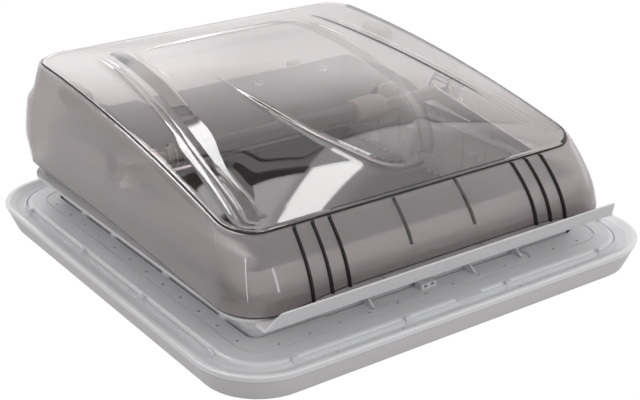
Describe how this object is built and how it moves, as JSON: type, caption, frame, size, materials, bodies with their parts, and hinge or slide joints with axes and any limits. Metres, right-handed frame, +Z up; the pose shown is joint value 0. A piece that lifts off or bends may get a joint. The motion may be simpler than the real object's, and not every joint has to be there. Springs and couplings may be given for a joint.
{
  "type": "caravan roof vent",
  "caption": "Square roof vent with a smoked hinged dome, wind deflector, lift bow in guide rails, and a ceiling frame with pleated blind and insect screen.",
  "frame": {"origin": "centre of the ceiling frame's room face, on the surface it stands on", "axes": "+X to the right seen from the front with the deflector, +Y to the hinges, +Z up through the roof"},
  "size_m": [0.5144, 0.5144, 0.1839],
  "materials": {
    "white_plastic": "fine satin, moulded",
    "smoked_acrylic": "polished, smoked",
    "clear_acrylic": "polished, clear",
    "beige_plastic": "satin",
    "grey_plastic": "satin",
    "dark_plastic": "satin",
    "pale_plastic": "semi-gloss",
    "aluminium": "anodised",
    "steel": "zinc plated",
    "rubber": "matt, grey",
    "blind_cloth": "pleated blackout cloth, coated",
    "screen_cloth": "pleated mesh"
  },
  "bodies": {
    "frame": {"ceiling_bezel": "white_plastic", "deck_frame": "white_plastic", "roof_frame": "white_plastic", "wind_deflector": "white_plastic", "frame_seal": "rubber", "frame_screws": "steel", "guide_rail_left": "aluminium", "guide_rail_right": "aluminium", "rail_screws": "steel", "hinge_pins": "steel", "blind_track_left": "white_plastic", "blind_track_right": "white_plastic", "blind_end_bar": "grey_plastic", "screen_end_bar": "grey_plastic", "blind_sheet": "blind_cloth", "screen_sheet": "screen_cloth"},
    "dome": {"dome_shell": "smoked_acrylic", "dome_rim": "smoked_acrylic", "hinge_arm_left": "white_plastic", "hinge_arm_right": "white_plastic", "arm_cover_left": "beige_plastic", "arm_cover_right": "beige_plastic", "bracket_left": "clear_acrylic", "bracket_right": "clear_acrylic", "vent_plugs": "pale_plastic"},
    "lift_bow": {"lift_bar": "grey_plastic", "knuckle_left": "beige_plastic", "knuckle_right": "beige_plastic", "side_arm_left": "aluminium", "side_arm_right": "aluminium", "pivot_pins": "steel", "hub_caps": "dark_plastic", "rail_glides": "pale_plastic"},
    "button_left": {"release_button_left": "pale_plastic"},
    "button_right": {"release_button_right": "pale_plastic"},
    "blind": {"blind_rail": "grey_plastic", "blind_rail_shoes": "dark_plastic"},
    "screen": {"screen_rail": "grey_plastic", "screen_rail_shoes": "dark_plastic"}
  },
  "joints": [
    {"name": "dome_hinge", "type": "hinge", "parent": "frame", "child": "dome", "pos_m": [0, 0.248, 0.063], "axis": [-1, 0, 0], "range_deg": [0, 45]},
    {"name": "bow_pivot", "type": "hinge", "parent": "dome", "child": "lift_bow", "pos_m": [0, 0.025, 0.119], "axis": [1, 0, 0], "range_deg": [0, 97]},
    {"name": "button_left_press", "type": "slide", "parent": "lift_bow", "child": "button_left", "axis": [0, -1, 0], "range_m": [0, 0.003], "stiffness_N_per_m": 400},
    {"name": "button_right_press", "type": "slide", "parent": "lift_bow", "child": "button_right", "axis": [0, -1, 0], "range_m": [0, 0.003], "stiffness_N_per_m": 400},
    {"name": "blind_slide", "type": "slide", "parent": "frame", "child": "blind", "axis": [0, 1, 0], "range_m": [0, 0.33], "deforming": ["blind_sheet"]},
    {"name": "screen_slide", "type": "slide", "parent": "frame", "child": "screen", "axis": [0, -1, 0], "range_m": [0, 0.33], "deforming": ["screen_sheet"]}
  ],
  "couplings": [
    {"joint": "bow_pivot", "follows": "dome_hinge", "ratio": 2.149}
  ]
}
